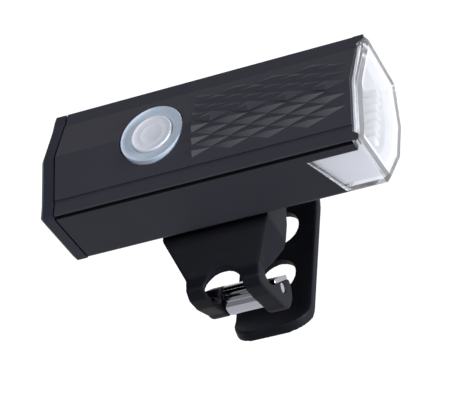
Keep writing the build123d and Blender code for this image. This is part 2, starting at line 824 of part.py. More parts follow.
# Switch plunger under the button's stem
with BuildPart() as switch_plunger:
    plunger_bottom_z = board_top_z + switch_floor + button_travel + plunger_float
    with BuildSketch(Plane.XY.offset(plunger_bottom_z)):
        with Locations((button_x, 0)):
            Rectangle(plunger_width, plunger_width)
    extrude(amount=plunger_top_z - plunger_bottom_z)
switch_plunger.part.label = "switch_plunger"
export_step(switch_plunger.part, "parts/switch_plunger.step")

# Push button: a dished cap on a stem
with BuildPart() as button_cap:
    with BuildSketch(Plane.XY.offset(cap_bottom_z)):
        with Locations((button_x, 0)):
            Circle(button_cap_radius)
    extrude(amount=button_cap_thickness)
    chamfer(button_cap.faces().sort_by(Axis.Z)[-1].edges(), button_edge_chamfer)
    with BuildSketch(Plane.XY.offset(button_top_z - button_dish_depth)):
        with Locations((button_x, 0)):
            Circle(button_dish_radius)
    extrude(amount=button_dish_depth, mode=Mode.SUBTRACT)
    with BuildSketch(Plane.XY.offset(plunger_top_z)):
        with Locations((button_x, 0)):
            Circle(button_stem_radius)
    extrude(amount=cap_bottom_z - plunger_top_z)
button_cap.part.label = "button_cap"
export_step(button_cap.part, "parts/button_cap.step")

# Button skirt: a clear ring with a raised rim and a foot under the roof
with BuildPart() as button_skirt:
    with BuildSketch(Plane.XY.offset(flange_bottom_z)):
        with Locations((button_x, 0)):
            Circle(skirt_flange_radius)
    extrude(amount=skirt_flange_thickness)
    with BuildSketch(Plane.XY.offset(flange_bottom_z)):
        with Locations((button_x, 0)):
            Circle(skirt_radius)
    extrude(amount=skirt_top_z - flange_bottom_z)
    with BuildSketch(Plane.XY.offset(membrane_z)):
        with Locations((button_x, 0)):
            Circle(skirt_radius - skirt_wall)
    extrude(amount=membrane_drop, mode=Mode.SUBTRACT)
    with BuildSketch(Plane.XY.offset(flange_bottom_z)):
        with Locations((button_x, 0)):
            Circle(button_cap_radius + button_cap_gap)
    extrude(amount=skirt_top_z - flange_bottom_z, mode=Mode.SUBTRACT)
button_skirt.part.label = "button_skirt"
export_step(button_skirt.part, "parts/button_skirt.step")

# Charge lamps in a circle under the membrane
with BuildPart() as indicator_leds:
    with BuildSketch(Plane.XY.offset(board_top_z)):
        with Locations((button_x, 0)):
            with PolarLocations(lamp_circle_radius, lamp_count):
                Rectangle(lamp_width, lamp_length)
    extrude(amount=lamp_height)
indicator_leds.part.label = "indicator_leds"
export_step(indicator_leds.part, "parts/indicator_leds.step")

# Battery cell with rounded long edges
with BuildPart() as battery_cell:
    with BuildSketch(Plane.YZ.offset(cell_rear)):
        with Locations((0, cell_z + cell_height / 2)):
            RectangleRounded(cell_width, cell_height, cell_edge_radius)
    extrude(amount=cell_length)
battery_cell.part.label = "battery_cell"
export_step(battery_cell.part, "parts/battery_cell.step")

# Battery tray on the housing's ribs
with BuildPart() as battery_tray:
    with BuildSketch(Plane.XY.offset(tray_z)):
        with Locations((cell_centre_x, 0)):
            Rectangle(cell_length + 2 * (fit_gap + tray_wall), cell_width + 2 * (fit_gap + tray_wall))
    extrude(amount=tray_floor + tray_lip_height)
    with BuildSketch(Plane.XY.offset(cell_z)):
        with Locations((cell_centre_x, 0)):
            Rectangle(cell_length + 2 * fit_gap, cell_width + 2 * fit_gap)
    extrude(amount=tray_lip_height, mode=Mode.SUBTRACT)
battery_tray.part.label = "battery_tray"
export_step(battery_tray.part, "parts/battery_tray.step")

# Foam pad between the cell and the board
with BuildPart() as foam_pad:
    with BuildSketch(Plane.XY.offset(cell_top_z)):
        with Locations((cell_centre_x, 0)):
            Rectangle(pad_length, pad_width)
    extrude(amount=pad_thickness)
foam_pad.part.label = "foam_pad"
export_step(foam_pad.part, "parts/foam_pad.step")

# Battery tabs from the cell's front face up to the board
with BuildPart() as battery_tabs:
    for side in (1, -1):
        with BuildSketch(Plane.XZ.offset(side * cell_tab_spacing / 2 - cell_tab_width / 2)):
            with Locations((cell_front, board_z)):
                Rectangle(cell_tab_thickness, pad_thickness + cell_tab_reach, align=(Align.MIN, Align.MAX))
                Rectangle(cell_tab_overlap, cell_tab_thickness, align=(Align.MIN, Align.MAX))
        extrude(amount=cell_tab_width)
battery_tabs.part.label = "battery_tabs"
export_step(battery_tabs.part, "parts/battery_tabs.step")

# Brass insert in the housing's boss, knurled on the outside
with BuildPart() as swivel_insert:
    insert_z = keel_z + swivel_boss_height - insert_length
    with BuildSketch(Plane.XY.offset(insert_z)):
        Circle(insert_radius)
        Circle(swivel_screw_radius + running_gap, mode=Mode.SUBTRACT)
        with PolarLocations(insert_radius, knurl_count):
            Rectangle(2 * knurl_depth, knurl_width, mode=Mode.SUBTRACT)
    extrude(amount=insert_length)
swivel_insert.part.label = "swivel_insert"
export_step(swivel_insert.part, "parts/swivel_insert.step")

# Swivel screw, whose head hangs in the plate's counterbore
with BuildPart() as swivel_screw:
    with BuildSketch(Plane.XY.offset(swivel_head_z)):
        Circle(swivel_screw_radius)
    extrude(amount=keel_z + swivel_boss_height - swivel_head_z)
    with BuildSketch(Plane.XY.offset(swivel_head_z)):
        Circle(swivel_screw_head_radius)
    extrude(amount=-swivel_screw_head_height)
    with BuildSketch(Plane.XY.offset(swivel_head_z - swivel_screw_head_height)):
        RegularPolygon(hex_radius, 6)
    extrude(amount=hex_depth, mode=Mode.SUBTRACT)
swivel_screw.part.label = "swivel_screw"
export_step(swivel_screw.part, "parts/swivel_screw.step")

# Swivel plate moulded into the rubber, with an octagonal rim that stops it turning and a counterbore
with BuildPart() as swivel_plate:
    with BuildSketch(Plane.XY.offset(plate_bottom_z)):
        Circle(swivel_plate_radius)
    extrude(amount=saddle_top_height - plate_bottom_z)
    with BuildSketch(Plane.XY.offset(plate_bottom_z)):
        RegularPolygon(swivel_plate_radius + swivel_plate_rim, swivel_plate_rim_sides, major_radius=False)
    extrude(amount=swivel_plate_rim_height)
    with BuildSketch(Plane.XY.offset(plate_bottom_z)):
        Circle(swivel_screw_head_radius + head_clearance)
    extrude(amount=swivel_head_z - plate_bottom_z, mode=Mode.SUBTRACT)
    with BuildSketch(Plane.XY.offset(plate_bottom_z)):
        Circle(swivel_screw_radius + swivel_clearance)
    extrude(amount=saddle_top_height - plate_bottom_z, mode=Mode.SUBTRACT)
swivel_plate.part.label = "swivel_plate"
export_step(swivel_plate.part, "parts/swivel_plate.step")

# Swivel washer between the plate and the housing
with BuildPart() as swivel_washer:
    with BuildSketch(Plane.XY.offset(saddle_top_height)):
        Circle(washer_radius)
        Circle(swivel_screw_radius + head_clearance, mode=Mode.SUBTRACT)
    extrude(amount=washer_thickness)
swivel_washer.part.label = "swivel_washer"
export_step(swivel_washer.part, "parts/swivel_washer.step")

# Saddle: rubber crown over the bar, an arm with two eyes on one side and a strap socket on the other
socket_corner = socket_radius * root_corner_share
root_at = Vector(root_reach, root_rise)
low_side, mid_side, high_side = [
    Vector(2 * socket_radius, 0).rotate(Axis.Z, angle)
    for angle in (root_opening_low_angle, (root_opening_low_angle + root_opening_high_angle) / 2,
                  root_opening_high_angle)
]
with BuildPart() as saddle:
    with BuildSketch(Plane.YZ.offset(-saddle_half_length)):
        Polygon(
            (-foot_reach, foot_rise),
            (-arm_heel_reach, arm_heel_rise),
            (-arm_soffit_reach, arm_soffit_rise),
            (-arm_crook_reach, arm_crook_rise),
            (-arm_inside_reach, arm_inside_rise),
            (-arm_outside_reach, arm_outside_rise),
            (-arm_elbow_reach, arm_elbow_rise),
            (-arm_knee_reach, arm_knee_rise),
            (-arm_shoulder_reach, arm_shoulder_rise),
            (-saddle_top_half_width, saddle_top_height),
            (saddle_top_half_width, saddle_top_height),
            (root_reach, root_rise + socket_radius),
            (root_reach, root_rise),
            (root_reach - socket_corner, root_rise - socket_corner),
            (arm_heel_reach, arm_heel_rise),
            (foot_reach, foot_rise),
            align=None,
        )
        with Locations((root_reach, root_rise)):
            Circle(socket_radius)
        Circle(bar_radius, mode=Mode.SUBTRACT)
    extrude(amount=2 * saddle_half_length)
    with BuildSketch(Plane.XY):
        Polygon(
            (saddle_half_length, -saddle_top_half_width),
            (arm_half_length, -arm_shoulder_reach),
            (arm_half_length, -arm_elbow_reach - cut_overrun),
            (-arm_half_length, -arm_elbow_reach - cut_overrun),
            (-arm_half_length, -arm_shoulder_reach),
            (-saddle_half_length, -saddle_top_half_width),
            (-saddle_half_length, root_reach + socket_radius),
            (saddle_half_length, root_reach + socket_radius),
            align=None,
        )
    extrude(amount=saddle_top_height, both=True, mode=Mode.INTERSECT)
    arm_corners = [
        edge for edge in saddle.edges().filter_by(Axis.X)
        if edge.center().Y < (-arm_knee_reach - arm_shoulder_reach) / 2
        and edge.center().Z > (arm_outside_rise + arm_elbow_rise) / 2
    ]
    fillet(arm_corners, arm_corner_radius)
    with BuildSketch(Plane.XZ.offset(arm_elbow_reach + cut_overrun)):
        with Locations((0, arm_window_top)):
            Rectangle(2 * arm_window_half_width, arm_elbow_reach, align=(Align.CENTER, Align.MAX))
    extrude(amount=-arm_window_depth - cut_overrun, mode=Mode.SUBTRACT)
    with BuildSketch(Plane.XZ.offset(arm_elbow_reach - arm_skin)):
        with Locations((0, arm_relief_low_rise)):
            Rectangle(2 * arm_relief_half_width, arm_window_top - arm_relief_low_rise,
                      align=(Align.CENTER, Align.MIN))
    extrude(amount=arm_skin - arm_window_depth, mode=Mode.SUBTRACT)
    with BuildSketch(Plane.XY.offset(arm_window_top)):
        with Locations((0, arm_notch_setback - arm_elbow_reach)):
            Circle(arm_window_half_width)
            Rectangle(2 * arm_window_half_width, arm_elbow_reach, align=(Align.CENTER, Align.MAX))
    extrude(amount=saddle_top_height - arm_window_top, mode=Mode.SUBTRACT)
    eyes = ((1, 0, eye_radius, hook_leaf_offset), (-1, near_eye_lift, near_eye_radius, near_eye_flat))
    for side, lift, radius, flat in eyes:
        with BuildSketch(Plane.YZ.offset(side * arm_window_half_width)):
            with Locations((-eye_reach, eye_rise + lift)):
                Circle(radius)
            with Locations(Location((-eye_reach, eye_rise), hook_leaf_angle)):
                with Locations((flat + eye_radius / 2, 0)):
                    Rectangle(eye_radius, 2 * eye_radius, mode=Mode.SUBTRACT)
            Polygon(
                (-arm_inside_reach, arm_inside_rise),
                (-eye_reach, eye_rise + lift),
                (-eye_reach - radius, eye_rise + lift),
                (-arm_outside_reach, arm_outside_rise),
                align=None,
            )
        extrude(amount=side * (arm_half_length - arm_window_half_width))
    with BuildSketch(Plane.YZ.offset(-saddle_half_length)):
        with Locations((-eye_reach, eye_rise)):
            Circle(hook_pin_radius)
    extrude(amount=2 * saddle_half_length, mode=Mode.SUBTRACT)
    with BuildSketch(Plane.YZ.offset(-strap_half_width - root_gap)):
        with Locations((root_reach, root_rise)):
            Circle(root_radius + root_gap)
        with BuildLine():
            Line(root_at, root_at + low_side)
            Line(root_at + low_side, root_at + mid_side)
            Line(root_at + mid_side, root_at + high_side)
            Line(root_at + high_side, root_at)
        make_face()
    extrude(amount=2 * (strap_half_width + root_gap), mode=Mode.SUBTRACT)
    with BuildSketch(Plane.XY):
        Circle(tool_hole_radius)
    extrude(amount=plate_bottom_z, mode=Mode.SUBTRACT)
    with BuildSketch(Plane.XZ.offset(-arm_shoulder_reach)):
        for side in (1, -1):
            Polygon(
                (side * saddle_half_length, foot_draft_rise),
                (side * foot_half_length, foot_rise),
                (side * foot_half_length, foot_rise - cut_overrun),
                (side * (saddle_half_length + cut_overrun), foot_rise - cut_overrun),
                (side * (saddle_half_length + cut_overrun), foot_draft_rise),
                align=None,
            )
    extrude(amount=2 * arm_shoulder_reach, mode=Mode.SUBTRACT)
    with BuildSketch(Plane.XY.offset(plate_bottom_z)):
        Circle(swivel_plate_radius)
    extrude(amount=saddle_top_height - plate_bottom_z, mode=Mode.SUBTRACT)
    with BuildSketch(Plane.XY.offset(plate_bottom_z)):
        RegularPolygon(swivel_plate_radius + swivel_plate_rim, swivel_plate_rim_sides, major_radius=False)
    extrude(amount=swivel_plate_rim_height, mode=Mode.SUBTRACT)
saddle.part.label = "saddle"
export_step(saddle.part, "parts/saddle.step")

# Hook pin through both eyes
with BuildPart() as hook_pin:
    with BuildSketch(Plane.YZ.offset(-hook_pin_half_length)):
        with Locations((-eye_reach, eye_rise)):
            Circle(hook_pin_radius)
    extrude(amount=2 * hook_pin_half_length)
hook_pin.part.label = "hook_pin"
export_step(hook_pin.part, "parts/hook_pin.step")

# Strap hook: a rolled barrel with a slot and a lip, and a leaf that lies on both eyes
with BuildPart() as strap_hook:
    with BuildSketch(Plane.YZ.offset(-hook_half_length)):
        with Locations((-eye_reach, eye_rise)):
            Circle(hook_radius)
    extrude(amount=2 * hook_half_length)
    with BuildSketch(Plane.YZ.offset(-hook_half_length)):
        with Locations(Location((-eye_reach, eye_rise), hook_leaf_angle)):
            with Locations((hook_leaf_offset, (hook_leaf_outer - hook_leaf_inner) / 2)):
                Rectangle(hook_leaf_thickness, hook_leaf_inner + hook_leaf_outer,
                          align=(Align.MIN, Align.CENTER))
    extrude(amount=hook_half_length + hook_leaf_end)
    with BuildSketch(Plane.YZ.offset(-hook_lip_half_length)):
        with Locations(Location((-eye_reach, eye_rise), hook_lip_angle)):
            Rectangle(hook_radius + hook_lip_height, hook_lip_thickness, align=(Align.MIN, Align.CENTER))
    extrude(amount=2 * hook_lip_half_length)
    with BuildSketch(Plane.YZ.offset(-hook_half_length)):
        with Locations(Location((-eye_reach, eye_rise), hook_slot_angle)):
            Rectangle(2 * hook_radius, hook_slot_width, align=(Align.MIN, Align.CENTER))
    extrude(amount=2 * hook_half_length, mode=Mode.SUBTRACT)
    with BuildSketch(Plane.YZ.offset(-hook_half_length)):
        with Locations((-eye_reach, eye_rise)):
            Circle(hook_pin_radius + hook_pin_gap)
    extrude(amount=2 * hook_half_length, mode=Mode.SUBTRACT)
strap_hook.part.label = "strap_hook"
export_step(strap_hook.part, "parts/strap_hook.step")

# Strap: a band that leaves its socket, loops under the bar and ends in a rounded tongue
with BuildPart() as strap:
    with BuildLine(Plane.YZ) as route:
        FilletPolyline(
            (root_reach, root_rise),
            (strap_out_reach, strap_out_rise),
            (strap_out_reach, -strap_drop),
            (-strap_toe_reach, -strap_drop),
            (-strap_tip_reach, -strap_tip_drop),
            radius=strap_bend_radius,
        )
    with BuildSketch(Plane(origin=route.line @ 0, x_dir=(1, 0, 0), z_dir=route.line % 0)):
        Rectangle(2 * strap_half_width, strap_thickness)
    sweep()
    tip = strap.faces().sort_by(Axis.Y)[0]
    fillet(tip.edges().filter_by(lambda edge: edge.length < 2 * strap_thickness), strap_corner_radius)
    with BuildSketch(Plane.YZ.offset(-strap_half_width)):
        with Locations((root_reach, root_rise)):
            Circle(root_radius)
    extrude(amount=2 * strap_half_width)
    with BuildSketch(Plane.XY.offset(-strap_drop)):
        for hole in range(strap_hole_count):
            with Locations((0, strap_first_hole_reach - hole * strap_hole_pitch)):
                Circle(strap_hole_radius)
    extrude(amount=strap_thickness, both=True, mode=Mode.SUBTRACT)
strap.part.label = "strap"
export_step(strap.part, "parts/strap.step")
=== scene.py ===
"""The finish of a bike headlight: plastics, clear lens, frosted button, rubber mount and chromed hook."""

import json
from math import cos, pi, radians, sin

import bmesh
import bpy
from mathutils import Matrix, Vector


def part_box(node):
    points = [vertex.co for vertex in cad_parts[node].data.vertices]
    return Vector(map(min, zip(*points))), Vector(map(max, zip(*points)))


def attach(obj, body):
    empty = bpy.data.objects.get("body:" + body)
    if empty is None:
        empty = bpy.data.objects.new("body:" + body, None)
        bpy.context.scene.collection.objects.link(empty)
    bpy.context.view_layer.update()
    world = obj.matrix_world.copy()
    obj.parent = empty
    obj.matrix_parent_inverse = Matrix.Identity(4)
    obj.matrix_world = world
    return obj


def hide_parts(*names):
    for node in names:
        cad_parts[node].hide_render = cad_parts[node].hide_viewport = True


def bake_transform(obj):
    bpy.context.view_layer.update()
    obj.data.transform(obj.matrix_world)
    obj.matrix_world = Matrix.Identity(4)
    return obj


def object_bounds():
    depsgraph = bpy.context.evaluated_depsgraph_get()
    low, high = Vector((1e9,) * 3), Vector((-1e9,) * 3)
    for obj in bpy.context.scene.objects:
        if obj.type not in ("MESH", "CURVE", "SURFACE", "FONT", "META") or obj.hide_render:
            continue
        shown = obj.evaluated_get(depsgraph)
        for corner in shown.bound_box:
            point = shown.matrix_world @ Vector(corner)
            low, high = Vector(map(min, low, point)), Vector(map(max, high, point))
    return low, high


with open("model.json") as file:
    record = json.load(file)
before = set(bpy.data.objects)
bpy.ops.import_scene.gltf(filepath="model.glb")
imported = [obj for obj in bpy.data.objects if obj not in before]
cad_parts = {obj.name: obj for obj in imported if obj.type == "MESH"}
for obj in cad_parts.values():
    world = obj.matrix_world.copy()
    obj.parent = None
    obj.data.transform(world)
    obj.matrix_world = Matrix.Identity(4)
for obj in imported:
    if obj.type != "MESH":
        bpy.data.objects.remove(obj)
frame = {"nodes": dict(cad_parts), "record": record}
cad_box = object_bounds()
nodes = frame["nodes"]
mm = 0.001

# View, as in the photograph, with angles in degrees
camera_aim = Vector((5.9, -9.0, 27.1)) * mm
camera_distance = 576.8 * mm
camera_azimuth = 30.66
camera_elevation = 42.87
camera_roll = 36.1
camera_lens = 207.8
camera_near = 0.05
camera_far = 20.0

# Floor and surround. The surround has a strength of its own for each kind of ray that meets it.
white = (1.0, 1.0, 1.0)
floor_drop = 34.0 * mm
floor_half = 4.0
floor_colour = (0.35, 0.35, 0.36)
floor_shade = 0.3
floor_rays = ("Is Camera Ray", "Is Transmission Ray", "Is Glossy Ray")
room_strengths = {
    "Is Camera Ray": 1.0,
    "Is Transmission Ray": 1.0,
    "Is Glossy Ray": 0.45,
    "Is Diffuse Ray": 0.1,
}

# Lamps, with distance and width in metres and power in watts. Glossy surfaces show only the mirrored ones.
lamps = {
    "key": dict(azimuth=88.0, elevation=6.0, distance=0.9, width=0.3, power=19.0, mirrored=True),
    "fill": dict(azimuth=-20.0, elevation=8.0, distance=0.9, width=0.35, power=1.0, mirrored=False),
    "back": dict(azimuth=215.0, elevation=12.0, distance=0.9, width=0.35, power=2.0, mirrored=False),
    "top": dict(azimuth=0.0, elevation=62.0, distance=1.0, width=0.4, power=7.2, mirrored=True),
}

# Rounded edges, with angles in degrees
weld = 0.002 * mm
flat_angle = 0.4
crease_angle = 24.0
smooth_angle = 34.0
facet_angle = 4.0
shell_round = 0.22 * mm
cover_round = shell_round / 4
lens_round = 0.25 * mm
metal_round = 0.12 * mm
screw_round = metal_round / 2
round_steps = 2
# Depth below the tub's top within which faces get the painted shade of the seam
painted_shade_ledge_depth = 0.1 * mm

# Worn rubber
rubber_cell = 0.32 * mm
rubber_ease = 0.5
rubber_passes = 8

# Button. Each face is a row of radii and drops below its top, from the edge inwards.
ring_bore = 5.1 * mm
ring_outside = 7.7 * mm
flange_radius = 8.6 * mm
flange_height = 0.7 * mm
ring_face = [(radius * mm, drop * mm) for radius, drop in (
    (7.7, 0.2), (7.66, 0.06), (7.56, 0.0), (7.44, 0.03), (7.34, 0.14), (7.2, 0.24),
    (6.8, 0.34), (6.2, 0.4), (5.5, 0.42), (5.2, 0.44), (5.1, 0.56),
)]
stem_radius = 1.7 * mm
cap_radius = 4.98 * mm
cap_height = 1.6 * mm
cap_face = [(radius * mm, drop * mm) for radius, drop in (
    (4.98, 0.3), (4.94, 0.12), (4.84, 0.02), (4.7, 0.0), (4.56, 0.03), (4.44, 0.1), (4.2, 0.16),
    (3.6, 0.2), (3.0, 0.19), (2.75, 0.16), (2.5, 0.2), (2.2, 0.26), (1.2, 0.29), (0.0, 0.3),
)]
turning_steps = 96

# Bars of the optic
bar_count = 7
bar_margin = 0.3 * mm
bar_gap = 0.35 * mm
bar_round = 0.7 * mm
bar_round_steps = 3
bar_height = 2.6 * mm
bar_drop = 2.4 * mm
bar_root = 1.0 * mm
bar_setback = 0.5 * mm

# Patterns of the surfaces, in waves to the metre, and the part of the noise that shows as rubbing streaks
grain_scale = 5000.0
cloud_scale = 90.0
streak_scale = 160.0
streak_stretch = (1.0, 5.0, 5.0)
streak_start = 0.55
streak_full = 0.78


def srgb(*levels):
    """A colour written in the usual 0 to 255 steps, as linear light."""
    shares = [level / 255 for level in levels]
    return tuple(c / 12.92 if c <= 0.04045 else ((c + 0.055) / 1.055) ** 2.4 for c in shares)


def with_alpha(colour):
    """The colour with a full fourth value."""
    return (*colour, 1.0)


# Shared effects

def new_group(name, numbers, results):
    """An empty shader group with number inputs and the named results."""
    group = bpy.data.node_groups.new(name, "ShaderNodeTree")
    for label, value in numbers.items():
        socket = group.interface.new_socket(label, in_out="INPUT", socket_type="NodeSocketFloat")
        socket.default_value = value
    for label in results:
        group.interface.new_socket(label, in_out="OUTPUT", socket_type="NodeSocketFloat")
    inside = group.nodes.new("NodeGroupInput")
    outside = group.nodes.new("NodeGroupOutput")
    return group, inside, outside


def noise_in(group, scale, detail, rough=0.5, stretch=None):
    """Noise on the piece's own coordinates, whose scale is one of the group's inputs."""
    place = group.nodes.new("ShaderNodeTexCoord").outputs["Object"]
    if stretch:
        spread = group.nodes.new("ShaderNodeMapping")
        spread.inputs["Scale"].default_value = stretch
        group.links.new(place, spread.inputs["Vector"])
        place = spread.outputs["Vector"]
    noise = group.nodes.new("ShaderNodeTexNoise")
    noise.inputs["Detail"].default_value = detail
    noise.inputs["Roughness"].default_value = rough
    group.links.new(place, noise.inputs["Vector"])
    group.links.new(scale, noise.inputs["Scale"])
    return noise.outputs["Fac"]


def mould_grain():
    """Fine grain of a spark-etched mould, with slow clouding of the shade."""
    numbers = {"Grain": grain_scale, "Cloud": cloud_scale}
    group, inside, outside = new_group("mould_grain", numbers, ("Height", "Shade"))
    fine = noise_in(group, inside.outputs["Grain"], detail=3.0, rough=0.6)
    slow = noise_in(group, inside.outputs["Cloud"], detail=4.0, rough=0.55)
    group.links.new(fine, outside.inputs["Height"])
    group.links.new(slow, outside.inputs["Shade"])
    return group


def handling_marks():
    """Faint rubbing on soft or polished surfaces, in long thin streaks."""
    group, inside, outside = new_group("handling_marks", {"Streaks": streak_scale}, ("Mask",))
    streaks = noise_in(group, inside.outputs["Streaks"], detail=6.0, stretch=streak_stretch)
    ramp = group.nodes.new("ShaderNodeValToRGB")
    ramp.color_ramp.elements[0].position = streak_start
    ramp.color_ramp.elements[1].position = streak_full
    group.links.new(streaks, ramp.inputs["Fac"])
    group.links.new(ramp.outputs["Color"], outside.inputs["Mask"])
    return group


grain_group = mould_grain()
marks_group = handling_marks()


# Finishes

def moulded(name, colour, variation=0.12, roughness=(0.42, 0.56), grain=grain_scale, cloud=cloud_scale,
            depth=0.01 * mm, strength=0.5, **settings):
    """A moulded surface: shade and roughness drift slowly, and fine grain breaks the gloss."""
    material = bpy.data.materials.new(name)
    material.use_nodes = True
    tree = material.node_tree
    shader = tree.nodes["Principled BSDF"]
    effect = tree.nodes.new("ShaderNodeGroup")
    effect.node_tree = grain_group
    effect.inputs["Grain"].default_value = grain
    effect.inputs["Cloud"].default_value = cloud
    tint = tree.nodes.new("ShaderNodeMix")
    tint.data_type = "RGBA"
    tint.inputs["A"].default_value = with_alpha([c * (1 - variation) for c in colour])
    tint.inputs["B"].default_value = with_alpha([min(1.0, c * (1 + variation)) for c in colour])
    tree.links.new(effect.outputs["Shade"], tint.inputs["Factor"])
    tree.links.new(tint.outputs["Result"], shader.inputs["Base Color"])
    gloss = tree.nodes.new("ShaderNodeMapRange")
    gloss.inputs["To Min"].default_value = roughness[0]
    gloss.inputs["To Max"].default_value = roughness[1]
    tree.links.new(effect.outputs["Shade"], gloss.inputs["Value"])
    tree.links.new(gloss.outputs["Result"], shader.inputs["Roughness"])
    bump = tree.nodes.new("ShaderNodeBump")
    bump.inputs["Distance"].default_value = depth
    bump.inputs["Strength"].default_value = strength
    tree.links.new(effect.outputs["Height"], bump.inputs["Height"])
    tree.links.new(bump.outputs["Normal"], shader.inputs["Normal"])
    for label, value in settings.items():
        shader.inputs[label.replace("_", " ")].default_value = value
    return material


def rubbed(material, mark, streaks=streak_scale):
    """The moulded surface with faint streaks of another shade."""
    tree = material.node_tree
    shader = tree.nodes["Principled BSDF"]
    before = shader.inputs["Base Color"].links[0].from_socket
    marks = tree.nodes.new("ShaderNodeGroup")
    marks.node_tree = marks_group
    marks.inputs["Streaks"].default_value = streaks
    tint = tree.nodes.new("ShaderNodeMix")
    tint.data_type = "RGBA"
    tint.inputs["B"].default_value = with_alpha(mark)
    tree.links.new(marks.outputs["Mask"], tint.inputs["Factor"])
    tree.links.new(before, tint.inputs["A"])
    tree.links.new(tint.outputs["Result"], shader.inputs["Base Color"])
    return material


def metal(name, colour, **settings):
    """A bare metal surface."""
    return moulded(name, colour, Metallic=1.0, **settings)


def clear(name, colour, roughness, transmission, ior):
    """A clear moulding, smooth enough to see through."""
    return moulded(name, colour, variation=0.02, roughness=roughness, strength=0.05,
                   Transmission_Weight=transmission, IOR=ior)


def frosted(name, colour, transmission, ior, variation=0.05, **settings):
    """A milky moulding that lets some light through."""
    return moulded(name, colour, variation=variation, Transmission_Weight=transmission, IOR=ior,
                   **settings)


mount_rubber = moulded("mount_rubber", srgb(11, 12, 19), roughness=(0.5, 0.65), grain=3500.0,
                       depth=0.02 * mm, Specular_IOR_Level=0.08)
board_lacquer = moulded("board_lacquer", srgb(29, 90, 58), roughness=(0.25, 0.35), cloud=400.0)
hook_chrome = metal("hook_chrome", srgb(152, 153, 162), variation=0.02, roughness=(0.06, 0.12),
                    strength=0.04)

finishes = {
    "housing": moulded("housing_plastic", srgb(31, 32, 42), Specular_IOR_Level=0.13),
    "cover": moulded("cover_plastic", srgb(32, 32, 43), Specular_IOR_Level=0.36),
    "cap": moulded("cap_plastic", srgb(34, 36, 46), Specular_IOR_Level=0.13),
    # Near-black gasket rubber; in the seam groove and on the tub's ledge its darkness is partly painted
    # shade
    "gasket": moulded("gasket_rubber_and_painted_seam_shade", srgb(5, 5, 8), roughness=(0.7, 0.85), Specular_IOR_Level=0.1),
    "rubber": rubbed(mount_rubber, srgb(18, 19, 28)),
    "screw": metal("screw_steel", srgb(170, 172, 175), roughness=(0.22, 0.34), grain=2500.0),
    "socket": metal("socket_steel", srgb(185, 187, 190), roughness=(0.2, 0.3)),
    "lens": clear("clear_lens", srgb(244, 246, 250), roughness=(0.03, 0.07), transmission=0.93, ior=1.36),
    "optic": clear("clear_optic", srgb(246, 247, 250), roughness=(0.03, 0.06), transmission=0.9, ior=1.46),
    "bezel": moulded("bright_bezel", srgb(238, 237, 243), variation=0.04, roughness=(0.12, 0.22),
                     strength=0.1),
    "lamp": moulded("lamp_body", srgb(233, 228, 184), roughness=(0.25, 0.35)),
    "board": rubbed(board_lacquer, srgb(60, 120, 80)),
    "chip": moulded("chip_case", srgb(27, 27, 30), roughness=(0.5, 0.6)),
    "sink": metal("sink_aluminium", srgb(180, 183, 186), roughness=(0.35, 0.5)),
    "cell": moulded("cell_film", srgb(53, 102, 168), roughness=(0.25, 0.35)),
    "tray": moulded("tray_plastic", srgb(38, 38, 42)),
    "foam": moulded("foam_pad", srgb(58, 58, 62), variation=0.3, roughness=(0.9, 1.0), grain=2500.0,
                    depth=0.2 * mm, strength=1.0),
    "brass": metal("insert_brass", srgb(184, 146, 63), roughness=(0.3, 0.4)),
    "plate": moulded("plate_plastic", srgb(32, 33, 38)),
    "chrome": rubbed(hook_chrome, srgb(150, 152, 158)),
    "button": frosted("frosted_button", srgb(214, 218, 229), transmission=0.25, ior=1.45,
                      roughness=(0.4, 0.5), cloud=160.0, strength=0.25),
    "button_ring": frosted("frosted_ring", srgb(188, 202, 220), transmission=0.3, ior=1.45,
                           roughness=(0.36, 0.46), cloud=160.0, strength=0.2),
    # The bars' milky white stands in for glints on the clear optic's fins: painted highlight
    "bars": frosted("bars_painted_highlight", srgb(242, 241, 246), transmission=0.35, ior=1.4, variation=0.03,
                    roughness=(0.12, 0.2), strength=0.1),
}

# Every CAD node takes the finish of its slot in the record, and the optic takes one of its own
slot_of = {row["node"]: row["material_slot"] for row in frame["record"]["subparts"]}
body_of = {name: body for body, names in frame["record"]["behaviour"]["bodies"].items() for name in names}
for name, node in nodes.items():
    node.data.materials.clear()
    node.data.materials.append(finishes["optic" if name == "optic" else slot_of[name]])


# Making pieces

def placed(name, data):
    """A new object in the scene for the given mesh, lamp or camera."""
    piece = bpy.data.objects.new(name, data)
    bpy.context.scene.collection.objects.link(piece)
    return piece


def mesh_piece(name, bm, *materials):
    """A piece with the shape that was built and the given finishes."""
    mesh = bpy.data.meshes.new(name)
    bm.to_mesh(mesh)
    bm.free()
    for material in materials:
        mesh.materials.append(material)
    return placed(name, mesh)


def merged(name):
    """The CAD node's shape with its points merged and its flat faces whole."""
    bm = bmesh.new()
    bm.from_mesh(nodes[name].data)
    bmesh.ops.remove_doubles(bm, verts=bm.verts, dist=weld)
    bmesh.ops.dissolve_limit(bm, angle_limit=radians(flat_angle), verts=bm.verts, edges=bm.edges,
                             use_dissolve_boundaries=False)
    return bm


def bevelled(bm, edges, width, steps):
    """Rounds the given edges."""
    bmesh.ops.bevel(bm, geom=edges, offset=width, offset_type="OFFSET", segments=steps, profile=0.5,
                    affect="EDGES", clamp_overlap=True, material=-1)


def put_in_place(name, bm, finish, node, rides=True, crease=smooth_angle):
    """The finished piece, which takes the hidden node's place and, unless told not to, rides with the
    node's body.
    """
    piece = mesh_piece(name, bm, finish)
    piece.data.shade_smooth()
    piece.data.set_sharp_from_angle(angle=radians(crease))
    if rides:
        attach(piece, body_of[node])
    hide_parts(node)
    evened = piece.modifiers.new("evened", "WEIGHTED_NORMAL")
    evened.keep_sharp = True
    return piece


# Hard pieces that keep the CAD node's shape

